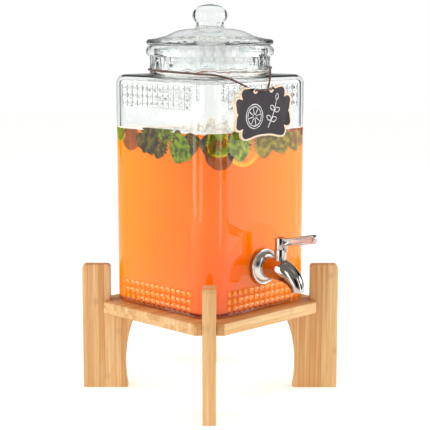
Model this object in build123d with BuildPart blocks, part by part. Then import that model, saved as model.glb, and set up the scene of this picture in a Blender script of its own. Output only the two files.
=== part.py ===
"""Square glass drink dispenser on a four-legged bamboo stand, with a quarter-turn steel tap.

Millimetres. The origin is on the table, under the jar's vertical axis. +Z is up and -Y is the
front, where the tap is. The stand's legs stand on the diagonals.
"""
from build123d import *
import math
import os

os.makedirs("parts", exist_ok=True)

# ---- driving dimensions ---------------------------------------------------------------------
# stand
leg_height = 140.0
leg_thickness = 14.0
leg_outer_reach = 142.0  # from the jar's axis to the leg's outer edge, along the diagonal
leg_upper_width = 31.0
leg_foot_width = 46.0
leg_arm_reach = 29.5  # how far the arm under the board runs in past the upright
leg_corner_round = 4.0
leg_edge_round = 0.8
board_width = 188.0
board_top = 100.0
board_thickness = 13.0
board_corner_cut = 22.0
board_edge_round = 1.6
slot_clearance = 0.15
screw_reach = 95.0  # from the jar's axis to each screw
screw_radius = 2.0
screw_head_radius = 4.0
screw_length = 36.0
screw_clearance = 0.05

# jar
jar_width = 160.0
jar_corner = 27.5
jar_body_height = 249.5
jar_wall = 4.0
jar_floor = 5.0
jar_foot_round = 4.0
jar_shoulder_round = 9.0
jar_foot_recess = 1.5
jar_foot_land = 20.0  # from the jar's face in to the recess
neck_radius = 65.2
neck_wall = 4.2
neck_flare = 3.0
rim_overhang = 4.1  # of the rim bead beyond the neck
rim_height = 10.0
rim_top = 280.0  # above the jar's underside
rim_round = 4.0
stud_gap = 0.5
stud_relief = 1.3
stud_flat = 1.0  # side of the small flat on each stud
stud_columns = 13
stud_rows = 3
lower_band_middle = 16.1  # above the jar's underside
upper_band_middle = 228.7

# lid
lid_seat_gap = 1.1  # taken up by the gasket's lip
lid_flange_setback = 0.6  # from the rim's edge in to the flange's edge
lid_flange_thickness = 6.0
lid_glass_wall = 4.0
lid_skirt_gap = 2.5  # from the neck's bore in to the skirt, filled by the gasket
lid_skirt_depth = 21.0
lid_shoulder = 11.8  # from the skirt in to the foot of the dome
lid_dome_rise = 10.0  # from the flange's underside
lid_plateau_radius = 24.0
lid_plateau_rise = 17.2
knob_radius = 18.9
knob_half_height = 12.1
knob_middle_rise = 31.7
knob_stalk_radius = 15.0
knob_foot_spread = 2.0
knob_foot_height = 2.5
gasket_lip_setback = 4.3  # from the rim's edge in to the lip's edge
gasket_rib = 0.7
fit_in_glass = 0.3

# tap
tap_height = 48.5  # of the tap's axis above the jar's underside
shank_radius = 7.9
shank_hole_clearance = 0.4
shank_bore = 3.2
outer_gasket_radius = 18.5
outer_gasket_thickness = 2.0
escutcheon_radius = 19.4
escutcheon_depth = 6.0
inner_gasket_radius = 13.0
inner_gasket_thickness = 2.5
washer_thickness = 1.5
nut_across_flats = 22.0
nut_thickness = 6.0
shank_overhang = 4.0
barrel_radius = 12.0
tower_from_face = 25.0
tower_wall = 2.0
tower_rise = 21.5  # above the tap's axis
tower_root_round = 2.5
tower_edge_round = 0.6
spout_reach = 49.5  # from the jar's face to the nozzle's axis
spout_drop = 20.5  # from the tap's axis to the nozzle's tip
nozzle_radius = 7.15
nozzle_bore = 4.6
plug_radius = 4.4
plug_clearance = 0.05
plug_depth = 6.5  # below the tap's axis
plug_shoulder_rise = 16.0
stem_radius = 2.6
stem_square = 3.7
stem_rise = 27.5
ring_section = 0.9
ring_groove = 2.0
ring_rises = (8.0, 12.0)
clip_overhang = 0.8  # of the spring ring beyond the plug
clip_thickness = 1.2
cap_setback = 0.4  # from the tower's side in to the cap's side
cap_height = 12.0
cap_gap = 0.2
cap_edge_round = 0.5
cap_screw_radius = 1.45
cap_screw_head = 2.9
blade_length = 49.0  # from the tower's axis to the tip
blade_thickness = 5.0
blade_root_height = 7.8
blade_tip_height = 9.4
blade_tilt = 10.0
blade_panel_depth = 0.4
blade_edge_round = 0.9

# tag and twine
tag_width = 86.0
tag_height = 55.0
tag_thickness = 3.0
tag_turn = 1.2  # in its own plane, right side up
tag_middle = (-7.5, 312.3)
tag_stand_off = 4.0  # from the jar's face to the tag's back
tag_hole_spacing = 24.0
tag_hole_radius = 1.5
tag_hole_drop = 4.0  # below the top edge of the tag
twine_radius = 1.0
twine_gap = 0.4
tag_twine_bend = 1.4  # the twine is pinched where it turns into each hole

# ---- places that follow from the sizes ------------------------------------------------------
jar_base = board_top
face = jar_width / 2
shoulder = jar_base + jar_body_height
rim = jar_base + rim_top
neck_bore = neck_radius - neck_wall
rim_radius = neck_radius + rim_overhang
stud_pitch = (jar_width - 2 * jar_corner) / stud_columns
lid_flange_radius = rim_radius - lid_flange_setback
lid_skirt_radius = neck_bore - lid_skirt_gap
lid_dome_radius = lid_skirt_radius - lid_shoulder
gasket_lip_radius = rim_radius - gasket_lip_setback
tower_radius = plug_radius + tower_wall
clip_radius = plug_radius + clip_overhang
cap_radius = tower_radius - cap_setback
board_bottom = board_top - board_thickness
leg_upper_inner = leg_outer_reach - leg_upper_width
leg_foot_inner = leg_outer_reach - leg_foot_width
leg_arm_end = leg_upper_inner - leg_arm_reach
leg_places = {
    "leg_back_right": 45,
    "leg_back_left": 135,
    "leg_front_left": 225,
    "leg_front_right": 315,
}
tap_z = jar_base + tap_height
tap_axis = Axis((0, 0, tap_z), (0, 1, 0))
tower_y = -face - tower_from_face
tower_top = tap_z + tower_rise


def diagonal_plane(angle):
    """The upright plane through the jar's axis: its x runs outwards and its y runs up."""
    a = math.radians(angle)
    return Plane(
        origin=(0, 0, 0),
        x_dir=(math.cos(a), math.sin(a), 0),
        z_dir=(math.sin(a), -math.cos(a), 0),
    )


# ---- stand ----------------------------------------------------------------------------------
# Square board with cut corners. A slot in each corner holds a leg between two prongs.
with BuildPart() as stand_board:
    with BuildSketch(Plane.XY.offset(board_bottom)) as outline:
        Rectangle(board_width, board_width)
        chamfer(outline.vertices(), length=board_corner_cut)
    extrude(amount=board_thickness)
    fillet(stand_board.faces().sort_by(Axis.Z)[-1].edges(), board_edge_round)
    fillet(stand_board.faces().sort_by(Axis.Z)[0].edges(), board_edge_round / 2)
    for angle in leg_places.values():
        with BuildSketch(Plane.XY.offset(board_bottom).rotated((0, 0, angle))):
            slot_end = leg_upper_inner - slot_clearance
            with Locations(((slot_end + leg_outer_reach) / 2, 0)):
                Rectangle(leg_outer_reach - slot_end, leg_thickness + 2 * slot_clearance)
        extrude(amount=board_thickness, mode=Mode.SUBTRACT)
    with Locations(Plane.XY.offset(board_top)):
        with PolarLocations(screw_reach, len(leg_places), start_angle=45):
            CounterSinkHole(
                radius=screw_radius + screw_clearance,
                counter_sink_radius=screw_head_radius + screw_clearance,
                depth=board_thickness,
                counter_sink_angle=90,
            )
stand_board.part.label = "stand_board"
export_step(stand_board.part, "parts/stand_board.step")

# Each leg is a flat plank on its edge: an upright beside the jar, an arm under the board and a
# foot that widens again below the curve.
for leg_name, angle in leg_places.items():
    with BuildPart() as leg:
        with BuildSketch(diagonal_plane(angle)) as side:
            with BuildLine():
                Polyline(
                    (leg_foot_inner, 0),
                    (leg_outer_reach, 0),
                    (leg_outer_reach, leg_height),
                    (leg_upper_inner, leg_height),
                    (leg_upper_inner, board_bottom),
                    (leg_arm_end, board_bottom),
                )
                ThreePointArc(
                    (leg_arm_end, board_bottom),
                    (leg_foot_inner - 1.6, 0.47 * board_bottom),
                    (leg_foot_inner - 2.4, 8.0),
                )
                Line((leg_foot_inner - 2.4, 8.0), (leg_foot_inner, 0))
            make_face()
            fillet(side.vertices().sort_by(Axis.Y)[-2:], leg_corner_round)
        extrude(amount=leg_thickness / 2, both=True)
        outer_edges = leg.edges().filter_by(Axis.Z).filter_by(
            lambda edge: math.hypot(edge.center().X, edge.center().Y) > leg_outer_reach - 1
        )
        fillet(outer_edges, leg_edge_round)
        with BuildSketch(Plane.XY.offset(board_bottom)):
            with PolarLocations(screw_reach, 1, start_angle=angle):
                Circle(screw_radius + screw_clearance)
        extrude(amount=-(screw_length - board_thickness + 1), mode=Mode.SUBTRACT)
    leg.part.label = leg_name
    export_step(leg.part, f"parts/{leg_name}.step")

# Countersunk wood screws with a cross recess, sunk just below the board's face.
with BuildPart() as leg_screws:
    head_z = board_top - 0.3
    with PolarLocations(screw_reach, len(leg_places), start_angle=45):
        with BuildPart(mode=Mode.PRIVATE) as screw:
            with BuildSketch(Plane.XZ):
                with BuildLine():
                    Polyline(
                        (0, head_z),
                        (screw_head_radius - 0.3, head_z),
                        (screw_radius, head_z + 0.3 - screw_head_radius + screw_radius),
                        (screw_radius, head_z - screw_length + 4),
                        (0, head_z - screw_length),
                        (0, head_z),
                    )
                make_face()
            revolve(axis=Axis.Z)
            with BuildSketch(Plane.XY.offset(head_z)):
                Rectangle(4.2, 0.9)
                Rectangle(0.9, 4.2)
            extrude(amount=-1.3, mode=Mode.SUBTRACT)
        add(screw.part)
leg_screws.part.label = "leg_screws"
export_step(leg_screws.part, "parts/leg_screws.step")

# ---- jar ------------------------------------------------------------------------------------
# The hollow of the jar, from its floor up through the neck.
with BuildPart() as jar_inside:
    with BuildSketch(Plane.XY.offset(jar_base + jar_floor)):
        RectangleRounded(
            jar_width - 2 * jar_wall, jar_width - 2 * jar_wall, jar_corner - jar_wall
        )
    extrude(amount=jar_body_height - jar_floor - jar_wall)
    fillet(jar_inside.faces().sort_by(Axis.Z)[0].edges(), jar_foot_round)
    fillet(jar_inside.faces().sort_by(Axis.Z)[-1].edges(), jar_shoulder_round - jar_wall)
    with BuildSketch(Plane.XY.offset(shoulder - jar_wall)):
        Circle(neck_bore)
    extrude(amount=rim - shoulder + jar_wall)

# One pressed stud: a low four-sided pyramid with a small flat, standing on the XY plane.
with BuildPart() as stud:
    with BuildSketch(Plane.XY.offset(-0.5)):
        Rectangle(stud_pitch - stud_gap, stud_pitch - stud_gap)
    with BuildSketch(Plane.XY.offset(0)):
        Rectangle(stud_pitch - stud_gap, stud_pitch - stud_gap)
    loft()
    with BuildSketch(Plane.XY):
        Rectangle(stud_pitch - stud_gap, stud_pitch - stud_gap)
    with BuildSketch(Plane.XY.offset(stud_relief)):
        Rectangle(stud_flat, stud_flat)
    loft()

# Square body, round neck and rim bead, with two bands of studs on each of the four faces.
with BuildPart() as jar:
    with BuildSketch(Plane.XY.offset(jar_base)):
        RectangleRounded(jar_width, jar_width, jar_corner)
    extrude(amount=jar_body_height)
    fillet(jar.faces().sort_by(Axis.Z)[0].edges(), jar_foot_round)
    fillet(jar.faces().sort_by(Axis.Z)[-1].edges(), jar_shoulder_round)
    with BuildSketch(Plane.XY.offset(jar_base)):
        recess_width = jar_width - 2 * jar_foot_land
        RectangleRounded(recess_width, recess_width, jar_corner / 2)
    extrude(amount=jar_foot_recess, mode=Mode.SUBTRACT)
    with BuildSketch(Plane.XZ):
        with BuildLine():
            Polyline(
                (0, shoulder - jar_wall / 2),
                (neck_radius + neck_flare, shoulder - jar_wall / 2),
                (neck_radius + neck_flare, shoulder),
            )
            RadiusArc(
                (neck_radius + neck_flare, shoulder), (neck_radius, shoulder + neck_flare), neck_flare
            )
            Line((neck_radius, shoulder + neck_flare), (neck_radius, rim - rim_height - 1))
            Line((neck_radius, rim - rim_height - 1), (rim_radius - 2, rim - rim_height))
            ThreePointArc(
                (rim_radius - 2, rim - rim_height),
                (rim_radius, rim - rim_height / 2),
                (rim_radius - rim_round + 1, rim),
            )
            Line((rim_radius - rim_round + 1, rim), (0, rim))
            Line((0, rim), (0, shoulder - jar_wall / 2))
        make_face()
    revolve(axis=Axis.Z)
    add(jar_inside.part, mode=Mode.SUBTRACT)
    for quarter in range(4):
        for band_middle in (lower_band_middle, upper_band_middle):
            face_plane = Plane(
                origin=(0, -face, jar_base + band_middle), x_dir=(1, 0, 0), z_dir=(0, -1, 0)
            )
            with Locations(Location((0, 0, 0), (0, 0, 90 * quarter)) * face_plane.location):
                with GridLocations(stud_pitch, stud_pitch, stud_columns, stud_rows):
                    add(stud.part)
    with BuildSketch(Plane.XZ):
        with Locations((0, tap_z)):
            Circle(shank_radius + shank_hole_clearance)
    extrude(amount=jar_width, mode=Mode.SUBTRACT)
jar.part.label = "jar"
export_step(jar.part, "parts/jar.step")

# ---- lid ------------------------------------------------------------------------------------
lid_bottom = rim + lid_seat_gap
skirt_end = lid_bottom - lid_skirt_depth
knob_z = lid_bottom + knob_middle_rise
stalk_angle = math.acos(knob_stalk_radius / knob_radius)
stalk_z = knob_z - knob_half_height * math.sin(stalk_angle)
knob_outline = [(knob_stalk_radius, stalk_z)]
for degrees in range(-20, 81, 20):
    t = math.radians(degrees)
    knob_outline.append((knob_radius * math.cos(t), knob_z + knob_half_height * math.sin(t)))
knob_outline.append((0, knob_z + knob_half_height))
lid_dome_z = lid_bottom + lid_dome_rise
lid_plateau_z = lid_bottom + lid_plateau_rise
skirt_inner = lid_skirt_radius - lid_glass_wall

# Domed glass lid with a flange, a plug skirt and a solid, slightly flattened ball knob.
with BuildPart() as lid_glass:
    with BuildSketch(Plane.XZ):
        with BuildLine():
            Spline(*knob_outline, tangents=((1, 0.75), (-1, 0)))
            Line(
                (knob_stalk_radius, stalk_z),
                (knob_stalk_radius, lid_plateau_z + knob_foot_height),
            )
            RadiusArc(
                (knob_stalk_radius, lid_plateau_z + knob_foot_height),
                (knob_stalk_radius + knob_foot_spread, lid_plateau_z + 0.3),
                -knob_foot_height,
            )
            Line(
                (knob_stalk_radius + knob_foot_spread, lid_plateau_z + 0.3),
                (lid_plateau_radius, lid_plateau_z),
            )
            ThreePointArc(
                (lid_plateau_radius, lid_plateau_z),
                (
                    (lid_plateau_radius + lid_dome_radius) / 2,
                    (lid_plateau_z + lid_dome_z) / 2 + 1.4,
                ),
                (lid_dome_radius, lid_dome_z),
            )
            Polyline(
                (lid_dome_radius, lid_dome_z),
                (lid_skirt_radius + 1, lid_bottom + lid_flange_thickness + 0.8),
                (lid_flange_radius - 2, lid_bottom + lid_flange_thickness),
            )
            ThreePointArc(
                (lid_flange_radius - 2, lid_bottom + lid_flange_thickness),
                (lid_flange_radius, lid_bottom + lid_flange_thickness / 2),
                (lid_flange_radius - 2, lid_bottom),
            )
            Polyline(
                (lid_flange_radius - 2, lid_bottom),
                (lid_skirt_radius, lid_bottom),
                (lid_skirt_radius, skirt_end),
                (skirt_inner, skirt_end),
                (skirt_inner, lid_bottom + 2),
                (lid_dome_radius - 3, lid_dome_z - lid_glass_wall),
            )
            ThreePointArc(
                (lid_dome_radius - 3, lid_dome_z - lid_glass_wall),
                (
                    (lid_plateau_radius + lid_dome_radius) / 2 - 2,
                    (lid_plateau_z + lid_dome_z) / 2 - lid_glass_wall + 1,
                ),
                (lid_plateau_radius - 2, lid_plateau_z - lid_glass_wall),
            )
            Line(
                (lid_plateau_radius - 2, lid_plateau_z - lid_glass_wall),
                (0, lid_plateau_z - lid_glass_wall),
            )
            Line((0, lid_plateau_z - lid_glass_wall), knob_outline[-1])
        make_face()
    revolve(axis=Axis.Z)
lid_glass.part.label = "lid_glass"
export_step(lid_glass.part, "parts/lid_glass.step")

# Clear silicone sleeve on the skirt: three ribs face the neck and a thin lip lies on the rim.
with BuildPart() as lid_gasket:
    sleeve_inner = lid_skirt_radius + 0.05
    rib_outer = neck_bore - fit_in_glass
    sleeve_outer = rib_outer - gasket_rib
    sleeve_bottom = skirt_end + 3
    with BuildSketch(Plane.XZ):
        with BuildLine():
            Polyline(
                (sleeve_inner, sleeve_bottom),
                (sleeve_outer, sleeve_bottom),
                (sleeve_outer, rim + 0.1),
                (gasket_lip_radius, rim + 0.1),
                (gasket_lip_radius, lid_bottom - 0.05),
                (sleeve_inner, lid_bottom - 0.05),
                (sleeve_inner, sleeve_bottom),
            )
        make_face()
    revolve(axis=Axis.Z)
    for rib_z in (sleeve_bottom + 2, sleeve_bottom + 7, sleeve_bottom + 12):
        with BuildSketch(Plane.XZ):
            with BuildLine():
                Polyline(
                    (sleeve_outer - 0.2, rib_z - 1),
                    (rib_outer, rib_z - 0.3),
                    (rib_outer, rib_z + 0.3),
                    (sleeve_outer - 0.2, rib_z + 1),
                    (sleeve_outer - 0.2, rib_z - 1),
                )
            make_face()
        revolve(axis=Axis.Z)
lid_gasket.part.label = "lid_gasket"
export_step(lid_gasket.part, "parts/lid_gasket.step")

# ---- tap ------------------------------------------------------------------------------------
def washer_at(y_start, y_end, outer, inner):
    """A flat ring round the tap's axis, between two distances along Y."""
    with BuildPart(mode=Mode.PRIVATE) as ring:
        with BuildSketch(Plane.XZ.offset(-y_start)):
            with Locations((0, tap_z)):
                Circle(outer)
                Circle(inner, mode=Mode.SUBTRACT)
        extrude(amount=y_start - y_end)
    return ring.part


inside_face = -face + jar_wall
gasket_front = -face - outer_gasket_thickness
barrel_back = gasket_front - escutcheon_depth
inner_gasket_end = inside_face + inner_gasket_thickness
washer_end = inner_gasket_end + washer_thickness
nut_end = washer_end + nut_thickness
shank_end = nut_end + shank_overhang
on_shank = shank_radius + 0.1

# Silicone washer between the steel ring and the glass.
outer_gasket = washer_at(-face, gasket_front, outer_gasket_radius, on_shank)
outer_gasket.label = "outer_gasket"
export_step(outer_gasket, "parts/outer_gasket.step")

# Domed steel ring with a raised edge and a shallow groove.
with BuildPart() as escutcheon:
    with BuildSketch(Plane.YZ):
        with BuildLine():
            Polyline(
                (gasket_front, tap_z + on_shank),
                (gasket_front, tap_z + escutcheon_radius),
                (gasket_front - 1.4, tap_z + escutcheon_radius),
            )
            ThreePointArc(
                (gasket_front - 1.4, tap_z + escutcheon_radius),
                (gasket_front - 2.3, tap_z + escutcheon_radius - 1.1),
                (gasket_front - 1.5, tap_z + escutcheon_radius - 2.3),
            )
            ThreePointArc(
                (gasket_front - 1.5, tap_z + escutcheon_radius - 2.3),
                (gasket_front - 4.4, tap_z + escutcheon_radius - 4.4),
                (barrel_back, tap_z + barrel_radius + 0.8),
            )
            Polyline(
                (barrel_back, tap_z + barrel_radius + 0.8),
                (barrel_back, tap_z + on_shank),
                (gasket_front, tap_z + on_shank),
            )
        make_face()
    revolve(axis=tap_axis)
escutcheon.part.label = "escutcheon"
export_step(escutcheon.part, "parts/escutcheon.step")

inner_gasket = washer_at(inner_gasket_end, inside_face, inner_gasket_radius, on_shank)
inner_gasket.label = "inner_gasket"
export_step(inner_gasket, "parts/inner_gasket.step")

inner_washer = washer_at(washer_end, inner_gasket_end, inner_gasket_radius, on_shank)
inner_washer.label = "inner_washer"
export_step(inner_washer, "parts/inner_washer.step")

# Hexagon nut inside the jar, with its corners turned down.
with BuildPart() as lock_nut:
    with BuildSketch(Plane.XZ.offset(-nut_end)):
        with Locations((0, tap_z)):
            RegularPolygon(nut_across_flats / 2, 6, major_radius=False)
            Circle(on_shank, mode=Mode.SUBTRACT)
    extrude(amount=nut_thickness)
    with BuildSketch(Plane.XZ.offset(-nut_end)):
        with Locations((0, tap_z)):
            Circle(nut_across_flats / 2 + 0.9)
    extrude(amount=nut_thickness, mode=Mode.INTERSECT)
lock_nut.part.label = "lock_nut"
export_step(lock_nut.part, "parts/lock_nut.step")

# Cast steel body: threaded shank, horn-shaped barrel that bends down into the nozzle, and tower.
# The barrel runs straight to bend_start, then its middle follows a quarter ellipse to the tip.
nozzle_y = -face - spout_reach
bend_start = tower_y + 6.0
bend_run = bend_start - nozzle_y


def bend_plane(turn):
    """The plane across the bend at this share of its quarter turn, in degrees from the barrel."""
    t = math.radians(turn)
    middle = (0, bend_start - bend_run * math.sin(t), tap_z - spout_drop * (1 - math.cos(t)))
    onward = (0, -bend_run * math.cos(t), -spout_drop * math.sin(t))
    return Plane(origin=middle, x_dir=(1, 0, 0), z_dir=onward)


with BuildPart() as spigot_body:
    with BuildSketch(Plane.XZ.offset(-barrel_back)):
        with Locations((0, tap_z)):
            Circle(barrel_radius)
    for turn in (0, 20, 40, 60, 80, 90):
        with BuildSketch(bend_plane(turn)):
            taper = math.cos(math.radians(turn)) ** 1.7
            Circle(nozzle_radius + (barrel_radius - nozzle_radius) * taper)
    loft()
    with BuildSketch(Plane((0, tower_y, tap_z))):
        Circle(tower_radius)
    extrude(amount=tower_rise)
    tower_root = spigot_body.edges().filter_by(GeomType.BSPLINE).sort_by(Axis.Z)[-1]
    fillet(tower_root, tower_root_round)
    fillet(spigot_body.faces().sort_by(Axis.Z)[-1].edges(), tower_edge_round)
    with BuildSketch(Plane.XZ.offset(-shank_end)):
        with Locations((0, tap_z)):
            Circle(shank_radius)
    extrude(amount=shank_end - barrel_back)
    with BuildSketch(Plane.XZ.offset(-shank_end)):
        with Locations((0, tap_z)):
            Circle(shank_bore)
    extrude(amount=shank_end - tower_y, mode=Mode.SUBTRACT)
    for turn, bore in ((0, shank_bore), (20, shank_bore), (45, nozzle_bore), (90, nozzle_bore)):
        with BuildSketch(bend_plane(turn)):
            Circle(bore)
    loft(mode=Mode.SUBTRACT)
    with BuildSketch(Plane((0, tower_y, tap_z - plug_depth - 0.3))):
        Circle(plug_radius + plug_clearance)
    extrude(amount=tower_rise + plug_depth + 1, mode=Mode.SUBTRACT)
    with BuildSketch(Plane((0, tower_y, tap_z + plug_shoulder_rise + 0.25))):
        Circle(clip_radius + 0.05)
    extrude(amount=clip_thickness + 0.1, mode=Mode.SUBTRACT)
spigot_body.part.label = "spigot_body"
export_step(spigot_body.part, "parts/spigot_body.step")

# Valve plug: a cross bore at the tap's axis, two ring grooves, a thinner stem with a square end.
with BuildPart() as valve_plug:
    with BuildSketch(Plane((0, tower_y, tap_z - plug_depth))):
        Circle(plug_radius)
    extrude(amount=plug_depth + plug_shoulder_rise)
    with BuildSketch(Plane((0, tower_y, tap_z + plug_shoulder_rise))):
        Circle(stem_radius)
    extrude(amount=tower_rise - plug_shoulder_rise)
    with BuildSketch(Plane((0, tower_y, tower_top))):
        Rectangle(stem_square, stem_square)
    extrude(amount=stem_rise - tower_rise)
    for ring_rise in ring_rises:
        with BuildSketch(Plane((0, tower_y, tap_z + ring_rise - 1))):
            Circle(plug_radius)
            Circle(plug_radius - ring_groove, mode=Mode.SUBTRACT)
        extrude(amount=2, mode=Mode.SUBTRACT)
    with BuildSketch(Plane.XZ.offset(-tower_y)):
        with Locations((0, tap_z)):
            Circle(shank_bore)
    extrude(amount=plug_radius + 1, both=True, mode=Mode.SUBTRACT)
    with BuildSketch(Plane((0, tower_y, tap_z + stem_rise))):
        Circle(cap_screw_radius + 0.05)
    extrude(amount=-7.5, mode=Mode.SUBTRACT)
valve_plug.part.label = "valve_plug"
export_step(valve_plug.part, "parts/valve_plug.step")

# Two rubber rings in the plug's grooves.
with BuildPart() as plug_o_rings:
    for ring_rise in ring_rises:
        with BuildSketch(Plane.YZ):
            with Locations((tower_y + plug_radius - 0.05 - ring_section, tap_z + ring_rise)):
                Circle(ring_section)
        revolve(axis=Axis((0, tower_y, 0), (0, 0, 1)))
plug_o_rings.part.label = "plug_o_rings"
export_step(plug_o_rings.part, "parts/plug_o_rings.step")

# Spring ring, open at the back, that holds the plug's shoulder down in the tower.
with BuildPart() as plug_clip:
    with BuildSketch(Plane((0, tower_y, tap_z + plug_shoulder_rise + 0.3))):
        Circle(clip_radius)
        Circle(stem_radius + 0.3, mode=Mode.SUBTRACT)
        with Locations((0, clip_radius)):
            Rectangle(2.4, 2 * clip_radius, mode=Mode.SUBTRACT)
    extrude(amount=clip_thickness)
plug_clip.part.label = "plug_clip"
export_step(plug_clip.part, "parts/plug_clip.step")

# Lever: a round cap over the tower and a tapered blade that tilts up, with a stop tab below its
# root and a shallow panel on each side.
cap_bottom = tower_top + cap_gap
cap_top = cap_bottom + cap_height
root_y = tower_y - cap_radius + 1.5
tip_y = tower_y - blade_length
rise_to_tip = (root_y - tip_y) * math.tan(math.radians(blade_tilt))
root_low = cap_top - blade_root_height - 0.4
tip_low = root_low + rise_to_tip - (blade_tip_height - blade_root_height) / 2
with BuildPart() as lever:
    with BuildSketch(Plane.YZ):
        with BuildLine():
            Polyline(
                (root_y, root_low),
                (tip_y + 3, tip_low),
                (tip_y, tip_low + 3),
                (tip_y + 1, tip_low + blade_tip_height - 1.5),
                (tip_y + 4, tip_low + blade_tip_height),
                (root_y, root_low + blade_root_height),
                (root_y, root_low),
            )
        make_face()
    extrude(amount=blade_thickness / 2, both=True)
    blade_sides = lever.faces().filter_by(Axis.X)
    long_edges = blade_sides.edges().filter_by(
        lambda edge: edge.length > 5 and edge.center().Y < root_y - 1
    )
    fillet(long_edges, blade_edge_round)
    panel_root = root_y - 9
    panel_tip = tip_y + 4
    for side_sign in (-1, 1):
        with BuildSketch(Plane.YZ.offset(side_sign * (blade_thickness / 2 - blade_panel_depth))):
            with BuildLine():
                slope = math.tan(math.radians(blade_tilt))
                low_root = root_low + (root_y - panel_root) * slope + 1.2
                low_tip = tip_low + 1.9
                high_root = root_low + blade_root_height + (root_y - panel_root) * slope - 1.5
                high_tip = tip_low + blade_tip_height - 1.8
                Polyline(
                    (panel_root, (low_root + high_root) / 2),
                    (panel_root - 2.5, low_root + 0.2),
                    (panel_tip, low_tip),
                    (panel_tip, high_tip),
                    (panel_root - 2.5, high_root),
                    (panel_root, (low_root + high_root) / 2),
                )
            make_face()
        extrude(amount=side_sign * 2, mode=Mode.SUBTRACT)
    with BuildSketch(Plane((0, tower_y, cap_bottom))):
        Circle(cap_radius)
    extrude(amount=cap_height)
    fillet(lever.edges().filter_by(GeomType.CIRCLE).sort_by(Axis.Z)[-1], cap_edge_round)
    with BuildSketch(Plane((0, tower_y - tower_radius - 1.3, tower_top - 2.5))):
        Rectangle(3.6, 1.8)
    extrude(amount=root_low + 1 - tower_top + 2.5)
    with BuildSketch(Plane((0, tower_y, cap_bottom))):
        Rectangle(stem_square + 0.1, stem_square + 0.1)
    extrude(amount=tap_z + stem_rise + 0.1 - cap_bottom, mode=Mode.SUBTRACT)
    with BuildSketch(Plane((0, tower_y, cap_top))):
        Circle(cap_screw_head + 0.1)
    extrude(amount=-3, mode=Mode.SUBTRACT)
    with BuildSketch(Plane((0, tower_y, cap_top))):
        Circle(cap_screw_radius + 0.05)
    extrude(amount=-cap_height / 2 - 1, mode=Mode.SUBTRACT)
lever.part.label = "lever"
export_step(lever.part, "parts/lever.step")

# Socket-head screw down through the cap into the stem.
with BuildPart() as lever_screw:
    with BuildSketch(Plane((0, tower_y, cap_top - 3))):
        Circle(cap_screw_head)
    extrude(amount=2.2)
    with BuildSketch(Plane((0, tower_y, cap_top - 3))):
        Circle(cap_screw_radius)
    extrude(amount=-9.5)
    with BuildSketch(Plane((0, tower_y, cap_top - 0.8))):
        RegularPolygon(1.25, 6, major_radius=False)
    extrude(amount=-1.3, mode=Mode.SUBTRACT)
lever_screw.part.label = "lever_screw"
export_step(lever_screw.part, "parts/lever_screw.step")

# ---- tag and twine --------------------------------------------------------------------------
tag_back = -face - tag_stand_off
tag_cos = math.cos(math.radians(tag_turn))
tag_sin = math.sin(math.radians(tag_turn))
tag_plane = Plane(
    origin=(tag_middle[0], tag_back, tag_middle[1]),
    x_dir=(tag_cos, 0, tag_sin),
    z_dir=(0, -1, 0),
)
hole_up = tag_height / 2 - tag_hole_drop
w = tag_width / 2
h = tag_height / 2

# Wooden plaque with a bracket outline: a lobe either side of each corner, a cusp on each side.
with BuildPart() as chalk_tag:
    with BuildSketch(tag_plane):
        with BuildLine():
            Spline((0, h - 3.4), (w - 30, h - 2.6), (w - 17, h - 0.2), tangents=((1, 0), (1, 0.05)))
            ThreePointArc((w - 17, h - 0.2), (w - 10.6, h - 2.2), (w - 9, h - 10))
            ThreePointArc((w - 9, h - 10), (w - 2.6, h - 11), (w, h - 15))
            Spline((w, h - 15), (w - 0.9, 6), (w - 2.8, 0), tangents=((0, -1), (-0.7, -0.7)))
            mirror(about=Plane.XZ)
            mirror(about=Plane.YZ)
        make_face()
        with Locations((0, hole_up)):
            with GridLocations(tag_hole_spacing, 0, 2, 1):
                Circle(tag_hole_radius, mode=Mode.SUBTRACT)
    extrude(amount=tag_thickness)
chalk_tag.part.label = "chalk_tag"
export_step(chalk_tag.part, "parts/chalk_tag.step")

# The bit of twine that goes through both holes and lies across the tag's front.
left_hole = tag_plane.from_local_coords((-tag_hole_spacing / 2, hole_up, 0))
right_hole = tag_plane.from_local_coords((tag_hole_spacing / 2, hole_up, 0))
twine_out = Vector(0, -(tag_thickness + twine_radius + 0.2), 0)
with BuildPart() as tag_twine:
    with BuildLine() as through_tag:
        FilletPolyline(
            left_hole,
            left_hole + twine_out,
            right_hole + twine_out,
            right_hole,
            radius=tag_twine_bend,
        )
    with BuildSketch(Plane(origin=left_hole, z_dir=(0, -1, 0))):
        Circle(twine_radius)
    sweep(path=through_tag.wires()[0])
tag_twine.part.label = "tag_twine"
export_step(tag_twine.part, "parts/tag_twine.step")

# Twine from the right hole up over the shoulder, round the neck, and down to the left hole.
behind_tag = tag_back + twine_radius + 0.3
ring_radius = neck_radius + twine_radius + twine_gap
ring_step = 26
ring_corner = ring_radius / math.cos(math.radians(ring_step / 2))
twine_points = [
    (right_hole.X - 0.6, behind_tag, right_hole.Z + 0.6),
    (8.0, -face - 2.3, 349.5),
    (19.0, -71.0, 355.5),
    (33.0, -59.6, 357.3),
]
for turn in range(9):
    a = math.radians(-33 + turn * ring_step)
    z = 357.3 - 0.35 * turn
    twine_points.append((ring_corner * math.cos(a), ring_corner * math.sin(a), z))
twine_points += [
    (-66.8, -24.0, 353.2),
    (-65.5, -48.0, 352.3),
    (-61.5, -68.0, 352.2),
    (-52.5, -face - 1.6, 348.3),
    (-36.0, -face - 2.9, 342.0),
    (left_hole.X - 0.8, behind_tag, left_hole.Z + 0.4),
]


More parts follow.
